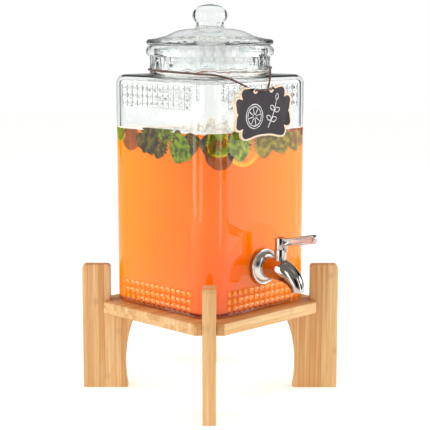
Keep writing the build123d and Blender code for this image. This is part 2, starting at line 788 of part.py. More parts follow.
def bend_radii(points):
    """The largest tidy radius at each inner point: 0.45 of its shorter run over tan(half turn)."""
    radii = []
    for before, here, after in zip(points, points[1:], points[2:]):
        run_in = Vector(*here) - Vector(*before)
        run_out = Vector(*after) - Vector(*here)
        half_turn = math.radians(run_in.get_angle(run_out) / 2)
        radii.append(0.45 * min(run_in.length, run_out.length) / math.tan(half_turn))
    return radii


twine_radii = bend_radii(twine_points)
print("twine bend radii:", [round(radius, 1) for radius in twine_radii])
with BuildPart() as neck_twine:
    with BuildLine() as twine_route:
        FilletPolyline(*twine_points, radius=twine_radii)
    twine_start = Vector(*twine_points[1]) - Vector(*twine_points[0])
    with BuildSketch(Plane(origin=twine_points[0], z_dir=twine_start)):
        Circle(twine_radius)
    sweep(path=twine_route.wires()[0])
twine_length = twine_route.wires()[0].length
section_times_length = math.pi * twine_radius**2 * twine_length
print(f"twine: {twine_length:.1f} mm long")
print(f"twine volume: {neck_twine.part.volume:.1f} of {section_times_length:.1f} mm3")
neck_twine.part.label = "neck_twine"
export_step(neck_twine.part, "parts/neck_twine.step")
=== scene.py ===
"""Glass drink dispenser on its bamboo stand: the finished look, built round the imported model.

Metres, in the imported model's own frame: origin on the table under the jar, +Z up, -Y the front.
"""
import math
import random

import bmesh
import bpy
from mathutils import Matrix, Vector


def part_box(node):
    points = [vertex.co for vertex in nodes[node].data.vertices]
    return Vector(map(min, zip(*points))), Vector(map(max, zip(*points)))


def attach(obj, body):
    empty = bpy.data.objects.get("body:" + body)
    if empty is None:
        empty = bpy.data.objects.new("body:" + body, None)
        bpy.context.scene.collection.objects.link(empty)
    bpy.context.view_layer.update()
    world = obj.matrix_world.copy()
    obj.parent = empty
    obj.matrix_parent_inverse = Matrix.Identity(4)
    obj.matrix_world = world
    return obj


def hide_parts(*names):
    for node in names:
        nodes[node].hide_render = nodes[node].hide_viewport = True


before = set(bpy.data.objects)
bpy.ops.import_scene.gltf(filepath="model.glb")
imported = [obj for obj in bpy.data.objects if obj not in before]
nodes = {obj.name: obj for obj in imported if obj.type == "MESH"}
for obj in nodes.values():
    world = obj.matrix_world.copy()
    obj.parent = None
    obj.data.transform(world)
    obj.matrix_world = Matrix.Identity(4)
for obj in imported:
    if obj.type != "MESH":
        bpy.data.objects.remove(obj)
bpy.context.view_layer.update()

# ---- Studio: table, backdrop, lights and camera ---------------------------------------------
# A white sweep under large soft lamps. The camera stands off the jar's front left corner, a
# little above the lid, with a long lens, so that the jar's corner and both faces show.


def colour(code):
    """The linear colour of an sRGB hex code."""
    shares = [int(code[i : i + 2], 16) / 255 for i in (1, 3, 5)]
    linear = [s / 12.92 if s <= 0.04045 else ((s + 0.055) / 1.055) ** 2.4 for s in shares]
    return (*linear, 1.0)


def add_node(tree, kind, sockets=None, **settings):
    """Adds a node with its settings. A socket is given a value, or a (node, output) to link."""
    node = tree.nodes.new(kind)
    for name, value in settings.items():
        setattr(node, name, value)
    for name, value in (sockets or {}).items():
        if isinstance(value, tuple) and isinstance(value[0], bpy.types.Node):
            tree.links.new(value[0].outputs[value[1]], node.inputs[name])
        else:
            node.inputs[name].default_value = value
    return node


def new_material(name):
    """A node material, its node tree, and the one node in it: the texture coordinates."""
    material = bpy.data.materials.new(name)
    material.use_nodes = True
    material.node_tree.nodes.clear()
    place = add_node(material.node_tree, "ShaderNodeTexCoord")
    return material, material.node_tree, place


def deselect():
    """Leaves object mode with nothing selected."""
    if bpy.context.object and bpy.context.object.mode != "OBJECT":
        bpy.ops.object.mode_set(mode="OBJECT")
    bpy.ops.object.select_all(action="DESELECT")


def pick(piece):
    """Selects one object alone."""
    deselect()
    piece.select_set(True)
    bpy.context.view_layer.objects.active = piece


bpy.context.scene.view_settings.view_transform = "Standard"
world = bpy.data.worlds.new("studio")
bpy.context.scene.world = world
world.use_nodes = True
tree = world.node_tree
tree.nodes.clear()
rays = add_node(tree, "ShaderNodeLightPath")
sweep = add_node(tree, "ShaderNodeBackground", {"Color": colour("#FFFFFF"), "Strength": 1.0})
room = add_node(tree, "ShaderNodeBackground", {"Color": colour("#FFFFFF"), "Strength": 0.62})
dim_room = add_node(tree, "ShaderNodeBackground", {"Color": colour("#FFFFFF"), "Strength": 0.26})
lit = add_node(
    tree, "ShaderNodeMixShader", {0: (rays, "Is Diffuse Ray"), 1: (sweep, 0), 2: (room, 0)}
)
mirrored = add_node(
    tree,
    "ShaderNodeMath",
    {0: (rays, "Is Glossy Ray"), 1: (rays, "Is Transmission Ray")},
    operation="SUBTRACT",
    use_clamp=True,
)
reflected = add_node(tree, "ShaderNodeMixShader", {0: (mirrored, 0), 1: (lit, 0), 2: (dim_room, 0)})
add_node(tree, "ShaderNodeOutputWorld", {"Surface": (reflected, 0)})

deselect()
bpy.ops.mesh.primitive_plane_add(size=8)
table_top = bpy.context.object
table_top.name = "table_top"
white_paper, tree, _ = new_material("white_paper")
surface = add_node(
    tree,
    "ShaderNodeBsdfPrincipled",
    {
        "Base Color": colour("#F7F6F4"),
        "Roughness": 1.0,
        "Specular IOR Level": 0.0,
        "Emission Color": colour("#FFFFFF"),
        "Emission Strength": 0.42,
    },
)
add_node(tree, "ShaderNodeOutputMaterial", {"Surface": (surface, "BSDF")})
table_top.data.materials.append(white_paper)

# Each soft lamp and each black flag stands round the jar at a bearing, counted from +X.
for lamp_name, bearing, distance, height, width, tall, power in (
    ("right_softbox", 322, 1.15, 0.22, 0.85, 0.44, 0.9),
    ("right_upper_softbox", 322, 1.20, 0.66, 1.00, 0.44, 8.0),
    ("left_upper_softbox", 132, 1.20, 0.66, 0.50, 0.44, 4.0),
    ("left_strip", 160, 1.00, 0.50, 0.30, 1.00, 2.6),
    ("front_strip", 190, 1.30, 0.60, 0.30, 1.20, 2.2),
    ("narrow_strip", 271, 1.30, 0.60, 0.26, 1.20, 2.2),
):
    a = math.radians(bearing)
    place = Vector((distance * math.cos(a), distance * math.sin(a), height))
    lamp = bpy.data.lights.new(lamp_name, "AREA")
    lamp.shape = "RECTANGLE"
    lamp.size = width
    lamp.size_y = tall
    lamp.energy = power
    lamp_object = bpy.data.objects.new(lamp_name, lamp)
    bpy.context.collection.objects.link(lamp_object)
    lamp_object.location = place
    aim = Vector((0, 0, height)) - place
    lamp_object.rotation_euler = aim.to_track_quat("-Z", "Y").to_euler()

flag_middle, flag_tall = 0.7, 1.4
black_cloth, tree, _ = new_material("black_cloth")
surface = add_node(
    tree, "ShaderNodeBsdfPrincipled", {"Base Color": colour("#050505"), "Roughness": 1.0}
)
add_node(tree, "ShaderNodeOutputMaterial", {"Surface": (surface, "BSDF")})
for flag_name, bearing, distance, width, in_glass in (
    ("flag_behind_camera", 231, 1.75, 1.05, False),
    ("flag_front_right", 292, 1.60, 0.75, False),
    ("flag_left", 118, 1.20, 0.30, True),
    ("flag_right", 338, 1.20, 0.30, True),
):
    a = math.radians(bearing)
    deselect()
    bpy.ops.mesh.primitive_plane_add(
        size=1,
        location=(distance * math.cos(a), distance * math.sin(a), flag_middle),
        rotation=(math.pi / 2, 0, a + math.pi / 2),
        scale=(width, flag_tall, 1),
    )
    flag = bpy.context.object
    flag.name = flag_name
    flag.data.materials.append(black_cloth)
    flag.visible_camera = False
    flag.visible_diffuse = False
    flag.visible_shadow = False
    flag.visible_transmission = in_glass

camera = bpy.data.cameras.new("camera")
camera.lens = 100.5
camera_object = bpy.data.objects.new("camera", camera)
bpy.context.collection.objects.link(camera_object)
camera_object.location = (-0.9219, -0.9348, 0.3934)
camera_object.rotation_euler = (math.radians(90 - 8.60), 0, math.radians(-44.84))
bpy.context.scene.camera = camera_object

# ---- Jute twine round the neck --------------------------------------------------------------
# Three-ply jute, 2 mm thick. It comes out behind the tag's right hole, goes up over the shoulder,
# once round the neck, over the front left corner and down to the left hole. Its own stiffness
# keeps it in a loose bow.
twine_thickness = 0.002
twine_pitch = 0.0085  # length of one full twist
neck_ring = 0.0666
ring_step = 26
ring_corner = neck_ring / math.cos(math.radians(ring_step / 2))
twine_points = [
    (0.0034, -0.0827, 0.3367),
    (0.0080, -0.0823, 0.3495),
    (0.0190, -0.0710, 0.3555),
    (0.0330, -0.0596, 0.3573),
]
for turn in range(9):
    a = math.radians(-33 + turn * ring_step)
    twine_points.append(
        (ring_corner * math.cos(a), ring_corner * math.sin(a), 0.3573 - 0.00035 * turn)
    )
twine_points += [
    (-0.0668, -0.0240, 0.3532),
    (-0.0655, -0.0480, 0.3523),
    (-0.0615, -0.0680, 0.3522),
    (-0.0525, -0.0816, 0.3483),
    (-0.0360, -0.0829, 0.3420),
    (-0.0208, -0.0827, 0.3359),
]


def soft_line(name, points, resolution):
    """A curve object: a NURBS line led by the points."""
    line = bpy.data.curves.new(name, "CURVE")
    line.dimensions = "3D"
    line.resolution_u = resolution
    spline = line.splines.new("NURBS")
    spline.points.add(len(points) - 1)
    for point, place in zip(spline.points, points):
        point.co = (*place, 1)
    spline.order_u = 3
    spline.use_endpoint_u = True
    carrier = bpy.data.objects.new(name, line)
    bpy.context.collection.objects.link(carrier)
    return carrier


def smooth_route(points):
    """The points along the NURBS line of a cord's route."""
    carrier = soft_line("route", points, 40)
    bpy.context.view_layer.update()
    mesh = bpy.data.meshes.new_from_object(carrier)
    route = [vertex.co.copy() for vertex in mesh.vertices]
    bpy.data.objects.remove(carrier)
    bpy.data.meshes.remove(mesh)
    return route


def evenly(route, step):
    """The same line with its points an even step apart."""
    lengths = [0.0]
    for before, here in zip(route, route[1:]):
        lengths.append(lengths[-1] + (here - before).length)
    count = max(2, round(lengths[-1] / step))
    points, k = [], 0
    for i in range(count + 1):
        along = lengths[-1] * i / count
        while k < len(route) - 2 and lengths[k + 1] < along:
            k += 1
        share = (along - lengths[k]) / max(lengths[k + 1] - lengths[k], 1e-9)
        points.append(route[k].lerp(route[k + 1], min(share, 1)))
    return points, lengths[-1]


def twist_plies(name, route, thickness, pitch, ply_count=3, ring=8):
    """A twisted cord along a route: plies that wind round it, each a tube with closed ends."""
    points, length = evenly(route, thickness * 0.35)
    centre = thickness * 0.25
    radius = thickness * 0.3
    vertices, faces = [], []
    tangents = []
    for i in range(len(points)):
        tangents.append((points[min(i + 1, len(points) - 1)] - points[max(i - 1, 0)]).normalized())
    across = tangents[0].orthogonal().normalized()
    frames = []
    for tangent in tangents:
        across = (across - tangent * across.dot(tangent)).normalized()
        frames.append((across.copy(), tangent.cross(across)))
    for ply in range(ply_count):
        start = len(vertices)
        for i, point in enumerate(points):
            turn = 2 * math.pi * (ply / ply_count + length * i / (len(points) - 1) / pitch)
            right, up = frames[i]
            out = right * math.cos(turn) + up * math.sin(turn)
            side = tangents[i].cross(out)
            for k in range(ring):
                a = 2 * math.pi * k / ring
                rise = out * (centre + radius * math.cos(a)) + side * radius * 1.25 * math.sin(a)
                vertices.append(point + rise)
        for i in range(len(points) - 1):
            for k in range(ring):
                a, b = start + i * ring + k, start + i * ring + (k + 1) % ring
                faces.append((a, b, b + ring, a + ring))
        faces.append([start + k for k in reversed(range(ring))])
        faces.append([start + (len(points) - 1) * ring + k for k in range(ring)])
    mesh = bpy.data.meshes.new(name)
    mesh.from_pydata(vertices, [], faces)
    piece = bpy.data.objects.new(name, mesh)
    bpy.context.collection.objects.link(piece)
    pick(piece)
    bpy.ops.object.shade_smooth()
    return piece


# Jute: hairy plant fibre, matte, darker in the valleys between the plies.
jute, tree, place = new_material("twisted_jute")
fibre = add_node(
    tree,
    "ShaderNodeTexNoise",
    {"Vector": (place, "Object"), "Scale": 1400.0, "Detail": 3.0, "Roughness": 0.7},
)
jute_colour = add_node(
    tree,
    "ShaderNodeMix",
    {0: (fibre, "Fac"), 6: colour("#2E180F"), 7: colour("#734836")},
    data_type="RGBA",
)
jute_bump = add_node(
    tree, "ShaderNodeBump", {"Height": (fibre, "Fac"), "Strength": 0.6, "Distance": 0.0003}
)
surface = add_node(
    tree,
    "ShaderNodeBsdfPrincipled",
    {
        "Base Color": (jute_colour, 2),
        "Roughness": 0.95,
        "Normal": (jute_bump, "Normal"),
        "Sheen Weight": 0.4,
    },
)
add_node(tree, "ShaderNodeOutputMaterial", {"Surface": (surface, "BSDF")})

twine_route = smooth_route(twine_points)
neck_twine = twist_plies("twine_loop", twine_route, twine_thickness, twine_pitch)
neck_twine.data.materials.append(jute)
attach(neck_twine, "jar")
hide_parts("neck_twine")

# ---- Bamboo stand: board --------------------------------------------------------------------
# A square board glued up from bamboo strips, its corners sawn off and slotted for the legs, its
# edges eased with a round-over bit.
board_low, board_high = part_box("stand_board")
leg_thickness = 0.014
leg_reach = 0.142
upright_width = 0.031


def block(name, low, high):
    """A rectangular block between two corners."""
    deselect()
    middle = [(a + b) / 2 for a, b in zip(low, high)]
    size = [b - a for a, b in zip(low, high)]
    bpy.ops.mesh.primitive_cube_add(size=1, location=middle, scale=size)
    piece = bpy.context.object
    piece.name = name
    bpy.ops.object.transform_apply(location=True, rotation=True, scale=True)
    return piece


def choose(piece, kind, test):
    """In edit mode, selects the EDGE or FACE parts for which the test holds."""
    pick(piece)
    bpy.ops.object.mode_set(mode="EDIT")
    bpy.ops.mesh.select_mode(type=kind)
    bpy.ops.mesh.select_all(action="DESELECT")
    shape = bmesh.from_edit_mesh(piece.data)
    for part in shape.edges if kind == "EDGE" else shape.faces:
        if test(part):
            part.select_set(True)
    bmesh.update_edit_mesh(piece.data)


def upright(edge):
    """Whether an edge stands upright."""
    return abs((edge.verts[0].co - edge.verts[1].co).normalized().z) > 0.99


def modify(piece, kind, **settings):
    """Adds a modifier to the piece and applies it."""
    pick(piece)
    step = piece.modifiers.new(kind.lower(), kind)
    for name, value in settings.items():
        setattr(step, name, value)
    bpy.ops.object.modifier_apply(modifier=step.name)


def cut_out(piece, tool):
    """Cuts the tool out of the piece, and removes the tool."""
    modify(piece, "BOOLEAN", operation="DIFFERENCE", solver="EXACT", object=tool)
    bpy.data.objects.remove(tool)


def ease_edges(piece, width, segments=2, angle=50):
    """Rounds every edge sharper than an angle, then shades the piece smooth up to it."""
    modify(
        piece,
        "BEVEL",
        width=width,
        segments=segments,
        limit_method="ANGLE",
        angle_limit=math.radians(angle),
    )
    pick(piece)
    bpy.ops.object.shade_smooth_by_angle(angle=math.radians(35))


def turn_in_place(piece, degrees):
    """Turns a piece about the Z axis and keeps the turn in its mesh."""
    pick(piece)
    piece.rotation_euler.z = math.radians(degrees)
    bpy.ops.object.transform_apply(location=True, rotation=True, scale=True)


corner_cut = 0.022
slot_width = leg_thickness + 0.0003
slot_end = leg_reach - upright_width - 0.00015
board = block("board", board_low, board_high)
choose(board, "EDGE", upright)
bpy.ops.mesh.bevel(offset=corner_cut, segments=1)
bpy.ops.object.mode_set(mode="OBJECT")
for turn in (45, 135, 225, 315):
    slot = block(
        "slot",
        (slot_end, -slot_width / 2, board_low[2] - 0.005),
        (leg_reach, slot_width / 2, board_high[2] + 0.005),
    )
    turn_in_place(slot, turn)
    cut_out(board, slot)
ease_edges(board, 0.0014, segments=3)

# Bamboo, planed and oiled: honey strips of slightly different tone with fine dark fibres along
# them, a thin glue line between strips, and a faint node across a strip here and there.
strip_width = 0.0062
strip_depth = 0.0155
fibre_width = 0.0004
along_grain = 0.025  # how much slower the pattern changes along the grain
node_spacing = 0.34


def bamboo(name, turn):
    """The bamboo material, with its strips running along Z after the turn."""
    material, tree, place = new_material(name)
    along = add_node(
        tree,
        "ShaderNodeMapping",
        {"Vector": (place, "Object"), "Rotation": [math.radians(t) for t in turn]},
    )
    axes = add_node(tree, "ShaderNodeSeparateXYZ", {"Vector": (along, "Vector")})
    strips = add_node(tree, "ShaderNodeMath", {0: (axes, "X"), 1: strip_width}, operation="DIVIDE")
    strip = add_node(tree, "ShaderNodeMath", {0: (strips, 0)}, operation="FLOOR")
    layers = add_node(tree, "ShaderNodeMath", {0: (axes, "Y"), 1: strip_depth}, operation="DIVIDE")
    layer = add_node(tree, "ShaderNodeMath", {0: (layers, 0)}, operation="FLOOR")
    which = add_node(
        tree, "ShaderNodeMath", {0: (strip, 0), 1: 7.31, 2: (layer, 0)}, operation="MULTIPLY_ADD"
    )
    tone = add_node(tree, "ShaderNodeTexWhiteNoise", {"W": (which, 0)}, noise_dimensions="1D")
    # each strip has its own start along the grain, so that the nodes don't line up
    joints = add_node(
        tree, "ShaderNodeMath", {0: (axes, "Z"), 1: 1 / node_spacing, 2: (tone, "Value")},
        operation="MULTIPLY_ADD",
    )
    from_node = add_node(tree, "ShaderNodeMath", {0: (joints, 0), 1: 0.5}, operation="PINGPONG")
    node_band = add_node(
        tree,
        "ShaderNodeMapRange",
        {"Value": (from_node, 0), "From Min": 0.0, "From Max": 0.018, "To Min": 1.0, "To Max": 0.0},
    )
    stretched = add_node(
        tree, "ShaderNodeVectorMath", {0: (along, "Vector"), 1: (1, 1, along_grain)},
        operation="MULTIPLY",
    )
    fibres = add_node(
        tree,
        "ShaderNodeTexNoise",
        {"Vector": (stretched, "Vector"), "Scale": 0.6 / fibre_width, "Detail": 4.0,
         "Roughness": 0.65},
    )
    streaks = add_node(
        tree,
        "ShaderNodeTexNoise",
        {"Vector": (stretched, "Vector"), "Scale": 0.15 / fibre_width, "Detail": 2.0},
    )
    edge = add_node(tree, "ShaderNodeMath", {0: (strips, 0), 1: 0.5}, operation="PINGPONG")
    glue = add_node(
        tree,
        "ShaderNodeMapRange",
        {"Value": (edge, 0), "From Min": 0.0, "From Max": 0.06, "To Min": 0.45, "To Max": 0.0},
    )
    base = add_node(
        tree, "ShaderNodeMix",
        {0: (tone, "Value"), 6: colour("#C9924F"), 7: colour("#E6BC82")}, data_type="RGBA",
    )
    fibre_share = add_node(
        tree,
        "ShaderNodeMapRange",
        {"Value": (fibres, "Fac"), "From Min": 0.42, "From Max": 0.68, "To Max": 0.55},
    )
    fibred = add_node(
        tree, "ShaderNodeMix",
        {0: (fibre_share, 0), 6: (base, 2), 7: colour("#B5793C")}, data_type="RGBA",
    )
    streak_share = add_node(
        tree,
        "ShaderNodeMapRange",
        {"Value": (streaks, "Fac"), "From Min": 0.5, "From Max": 0.75, "To Max": 0.5},
    )
    streaked = add_node(
        tree, "ShaderNodeMix",
        {0: (streak_share, 0), 6: (fibred, 2), 7: colour("#F3D5A4")}, data_type="RGBA",
    )
    dark = add_node(
        tree, "ShaderNodeMath", {0: (node_band, 0), 1: 0.22, 2: (glue, 0)},
        operation="MULTIPLY_ADD", use_clamp=True,
    )
    finished = add_node(
        tree, "ShaderNodeMix",
        {0: (dark, 0), 6: (streaked, 2), 7: colour("#8E5A2B")}, data_type="RGBA",
    )
    bump = add_node(
        tree, "ShaderNodeBump", {"Height": (fibres, "Fac"), "Strength": 0.25, "Distance": 0.0002}
    )
    surface = add_node(
        tree,
        "ShaderNodeBsdfPrincipled",
        {"Base Color": (finished, 2), "Roughness": 0.42, "Coat Weight": 0.15,
         "Coat Roughness": 0.3, "Normal": (bump, "Normal")},
    )
    add_node(tree, "ShaderNodeOutputMaterial", {"Surface": (surface, "BSDF")})
    return material


board.data.materials.append(bamboo("bamboo_board", (-90, -90, 0)))
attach(board, "stand")
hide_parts("stand_board")

# ---- Bamboo stand: legs ---------------------------------------------------------------------
# Four planks on edge. Each is an upright that keeps the jar in place, an arm under the board and
# a foot, with the inner edge routed to one long curve.
leg_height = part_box("leg_front_left")[1][2]
arm_reach = 0.0295
curve_radius = 0.1407
curve_centre = (-0.0458, 0.0271)
leg_bamboo = {45: bamboo("bamboo_leg_a", (0, 0, -45)), 135: bamboo("bamboo_leg_b", (0, 0, 45))}
for leg_name, turn in (
    ("leg_back_right", 45),
    ("leg_back_left", 135),
    ("leg_front_left", 225),
    ("leg_front_right", 315),
):
    leg = block(
        leg_name.replace("leg", "plank"),
        (leg_reach - upright_width, -leg_thickness / 2, 0),
        (leg_reach, leg_thickness / 2, leg_height),
    )
    choose(leg, "FACE", lambda face: True)
    bpy.ops.mesh.bisect(plane_co=(0, 0, board_low[2]), plane_no=(0, 0, 1))
    choose(
        leg,
        "FACE",
        lambda face: face.normal.x < -0.9 and face.calc_center_median().z < board_low[2],
    )
    bpy.ops.mesh.extrude_region_move(TRANSFORM_OT_translate={"value": (-arm_reach, 0, 0)})
    deselect()
    bpy.ops.mesh.primitive_cylinder_add(
        vertices=200,
        radius=curve_radius,
        depth=0.05,
        location=(curve_centre[0], 0, curve_centre[1]),
        rotation=(math.pi / 2, 0, 0),
    )
    router = bpy.context.object
    cut_out(leg, router)
    choose(
        leg,
        "EDGE",
        lambda edge: abs(edge.verts[0].co.z - leg_height) < 1e-5
        and abs(edge.verts[0].co.x - edge.verts[1].co.x) < 1e-6
        and abs(edge.verts[1].co.z - leg_height) < 1e-5,
    )
    bpy.ops.mesh.bevel(offset=0.004, segments=5)
    choose(
        leg,
        "EDGE",
        lambda edge: max(v.co.z for v in edge.verts) < 1e-5
        and max(v.co.x for v in edge.verts) < 0.095,
    )
    bpy.ops.mesh.bevel(offset=0.0035, segments=3)
    ease_edges(leg, 0.0009, segments=2)
    turn_in_place(leg, turn)
    leg.data.materials.append(leg_bamboo[turn % 180])
    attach(leg, "stand")
    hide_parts(leg_name)

# ---- Screws through the board into the legs -------------------------------------------------
# Countersunk wood screws with a cross recess, bright zinc-plated steel, just below the surface.


def smooth_copy(node, name, angle, body):
    """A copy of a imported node, welded and shaded smooth, that stands for it."""
    deselect()
    source = nodes[node]
    piece = bpy.data.objects.new(name, source.data.copy())
    bpy.context.collection.objects.link(piece)
    piece.data.materials.clear()
    pick(piece)
    bpy.ops.object.mode_set(mode="EDIT")
    bpy.ops.mesh.select_all(action="SELECT")
    bpy.ops.mesh.remove_doubles(threshold=1e-6)
    bpy.ops.object.mode_set(mode="OBJECT")
    bpy.ops.object.shade_smooth_by_angle(angle=math.radians(angle))
    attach(piece, body)
    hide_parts(node)
    return piece


def grained(name, grain_scale, low, high, sockets, detail=2.0):
    """A plain material whose roughness varies between two values in a fine grain."""
    material, tree, place = new_material(name)
    grain = add_node(
        tree,
        "ShaderNodeTexNoise",
        {"Vector": (place, "Object"), "Scale": grain_scale, "Detail": detail},
    )
    rough = add_node(
        tree, "ShaderNodeMapRange", {"Value": (grain, "Fac"), "To Min": low, "To Max": high}
    )
    surface = add_node(tree, "ShaderNodeBsdfPrincipled", {**sockets, "Roughness": (rough, 0)})
    add_node(tree, "ShaderNodeOutputMaterial", {"Surface": (surface, "BSDF")})
    return material


zinc_sockets = {"Base Color": colour("#C9CCD0"), "Metallic": 1.0}
zinc = grained("zinc_plated_steel", 900.0, 0.25, 0.5, zinc_sockets)
screws = smooth_copy("leg_screws", "wood_screws", 30, "stand")
screws.data.materials.append(zinc)

# ---- Jar ------------------------------------------------------------------------------------
# Thick pressed soda-lime glass. Both bands of studs come from the mould. The corners and the
# rim are fire-polished, so they are smooth and a little wavy.


def clear_glass(name, wave, tint="#FCFEFD"):
    """Soda-lime glass with a faint green tint through its thickness and slow waves."""
    material, tree, place = new_material(name)
    waves = add_node(
        tree, "ShaderNodeTexNoise", {"Vector": (place, "Object"), "Scale": 28.0, "Detail": 1.0}
    )
    bump = add_node(
        tree, "ShaderNodeBump", {"Height": (waves, "Fac"), "Strength": wave, "Distance": 0.002}
    )
    glass = add_node(
        tree,
        "ShaderNodeBsdfPrincipled",
        {
            "Base Color": colour(tint),
            "Roughness": 0.01,
            "IOR": 1.5,
            "Transmission Weight": 1.0,
            "Normal": (bump, "Normal"),
        },
    )
    clear = add_node(tree, "ShaderNodeBsdfTransparent", {"Color": colour("#FAFCFB")})
    rays = add_node(tree, "ShaderNodeLightPath")
    pane = add_node(
        tree, "ShaderNodeMixShader", {0: (rays, "Is Shadow Ray"), 1: (glass, 0), 2: (clear, 0)}
    )
    absorb = add_node(
        tree, "ShaderNodeVolumeAbsorption", {"Color": colour("#BFD6CC"), "Density": 3.0}
    )
    add_node(tree, "ShaderNodeOutputMaterial", {"Surface": (pane, 0), "Volume": (absorb, 0)})
    return material


jar = smooth_copy("jar", "pressed_jar", 20, "jar")
pressed_glass = clear_glass("pressed_glass", 0.05)
jar.data.materials.append(pressed_glass)

# The mould leaves a steep-sided groove round each stud, finer than the studs themselves.
stud_pitch = 0.105 / 13
band_middle = 0.2224  # half way between the two bands
band_rise = 0.1063
groove_share = 0.07  # of the pitch, from the middle of a groove to its edge
groove_depth = 0.0006
wall_skin = 0.078  # the glass outside this is the face with the studs


def nearest_groove(tree, axes, above_band, depth=None):
    """How far the nearest groove is, in studs. An axis beyond the depth is square to the wall."""
    nearest = None
    for part in ((axes, "X"), (axes, "Y"), (above_band, 0)):
        steps = add_node(
            tree, "ShaderNodeMath", {0: part, 1: 1 / stud_pitch, 2: 0.5}, operation="MULTIPLY_ADD"
        )
        to_groove = add_node(tree, "ShaderNodeMath", {0: (steps, 0), 1: 0.5}, operation="PINGPONG")
        if depth and part[0] is axes:
            reach = add_node(tree, "ShaderNodeMath", {0: part}, operation="ABSOLUTE")
            square = add_node(
                tree, "ShaderNodeMath", {0: (reach, 0), 1: depth}, operation="GREATER_THAN"
            )
            to_groove = add_node(
                tree, "ShaderNodeMath", {0: (to_groove, 0), 1: (square, 0)}, operation="MAXIMUM"
            )
        if nearest is None:
            nearest = to_groove
        else:
            nearest = add_node(
                tree, "ShaderNodeMath", {0: (nearest, 0), 1: (to_groove, 0)}, operation="MINIMUM"
            )
    return nearest


def within_band(tree, axes, above_band, margin):
    """1 on a band of studs, 0 beyond it. The margin round the studs is in studs."""
    beside = add_node(tree, "ShaderNodeMath", {0: (axes, "X")}, operation="ABSOLUTE")
    ahead = add_node(tree, "ShaderNodeMath", {0: (axes, "Y")}, operation="ABSOLUTE")
    along = add_node(tree, "ShaderNodeMath", {0: (beside, 0), 1: (ahead, 0)}, operation="MINIMUM")
    rise = add_node(tree, "ShaderNodeMath", {0: (above_band, 0)}, operation="ABSOLUTE")
    in_columns = add_node(
        tree,
        "ShaderNodeMath",
        {0: (along, 0), 1: (6.5 + margin) * stud_pitch},
        operation="LESS_THAN",
    )
    in_rows = add_node(
        tree,
        "ShaderNodeMath",
        {0: (rise, 0), 1: (1.5 + margin) * stud_pitch},
        operation="LESS_THAN",
    )
    return add_node(
        tree, "ShaderNodeMath", {0: (in_columns, 0), 1: (in_rows, 0)}, operation="MULTIPLY"
    )


tree = pressed_glass.node_tree
place = add_node(tree, "ShaderNodeTexCoord")
axes = add_node(tree, "ShaderNodeSeparateXYZ", {"Vector": (place, "Object")})
from_middle = add_node(tree, "ShaderNodeMath", {0: (axes, "Z"), 1: band_middle}, operation="SUBTRACT")
either_side = add_node(tree, "ShaderNodeMath", {0: (from_middle, 0)}, operation="ABSOLUTE")
in_band = add_node(tree, "ShaderNodeMath", {0: (either_side, 0), 1: band_rise}, operation="SUBTRACT")
nearest = nearest_groove(tree, axes, in_band)
stud_top = add_node(
    tree,
    "ShaderNodeMapRange",
    {"Value": (nearest, 0), "From Max": groove_share},
    interpolation_type="SMOOTHSTEP",
)
along_x = add_node(tree, "ShaderNodeMath", {0: (axes, "X")}, operation="ABSOLUTE")
along_y = add_node(tree, "ShaderNodeMath", {0: (axes, "Y")}, operation="ABSOLUTE")
outward = add_node(tree, "ShaderNodeMath", {0: (along_x, 0), 1: (along_y, 0)}, operation="MAXIMUM")
outside = add_node(
    tree, "ShaderNodeMath", {0: (outward, 0), 1: wall_skin}, operation="GREATER_THAN"
)
on_studs = within_band(tree, axes, in_band, 0.05)
on_band = add_node(
    tree, "ShaderNodeMath", {0: (outside, 0), 1: (on_studs, 0)}, operation="MULTIPLY"
)
groove = add_node(tree, "ShaderNodeMath", {0: 1.0, 1: (stud_top, 0)}, operation="SUBTRACT")
cut_groove = add_node(
    tree, "ShaderNodeMath", {0: (groove, 0), 1: (on_band, 0)}, operation="MULTIPLY"
)
glass_bump = next(node for node in tree.nodes if node.bl_idname == "ShaderNodeBump")
glass_surface = next(node for node in tree.nodes if node.bl_idname == "ShaderNodeBsdfPrincipled")
groove_bump = add_node(
    tree,
    "ShaderNodeBump",
    {"Height": (cut_groove, 0), "Distance": groove_depth, "Strength": 1.0, "Normal": (glass_bump, 0)},
    invert=True,
)
tree.links.new(groove_bump.outputs[0], glass_surface.inputs["Normal"])

# ---- Drink ----------------------------------------------------------------------------------
# Cloudy orange drink, filled to just under the upper band of studs. It wets the glass all
# over, so its skin lies in the glass's inner surface. A thin line of froth follows the glass.
jar_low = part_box("jar")[0]
inner_half = 0.076
inner_corner = 0.0235
wet = 0.00015  # how far the drink's skin lies into the glass, so that no air shows between
jar_floor = 0.005  # the thickness of the glass under the drink
drink_floor = jar_low[2] + jar_floor - wet
drink_top = 0.2920


def rounded_block(name, half, corner, low, high):
    """A square block with round upright edges."""
    piece = block(name, (-half, -half, low), (half, half, high))
    choose(piece, "EDGE", upright)
    bpy.ops.mesh.bevel(offset=corner, segments=14)
    bpy.ops.object.mode_set(mode="OBJECT")
    return piece


drink = rounded_block("orange_drink", inner_half + wet, inner_corner, drink_floor, drink_top)
choose(drink, "EDGE", lambda edge: max(v.co.z for v in edge.verts) < drink_floor + 1e-5)
bpy.ops.mesh.bevel(offset=0.004, segments=4)
pick(drink)
bpy.ops.object.shade_smooth_by_angle(angle=math.radians(40))

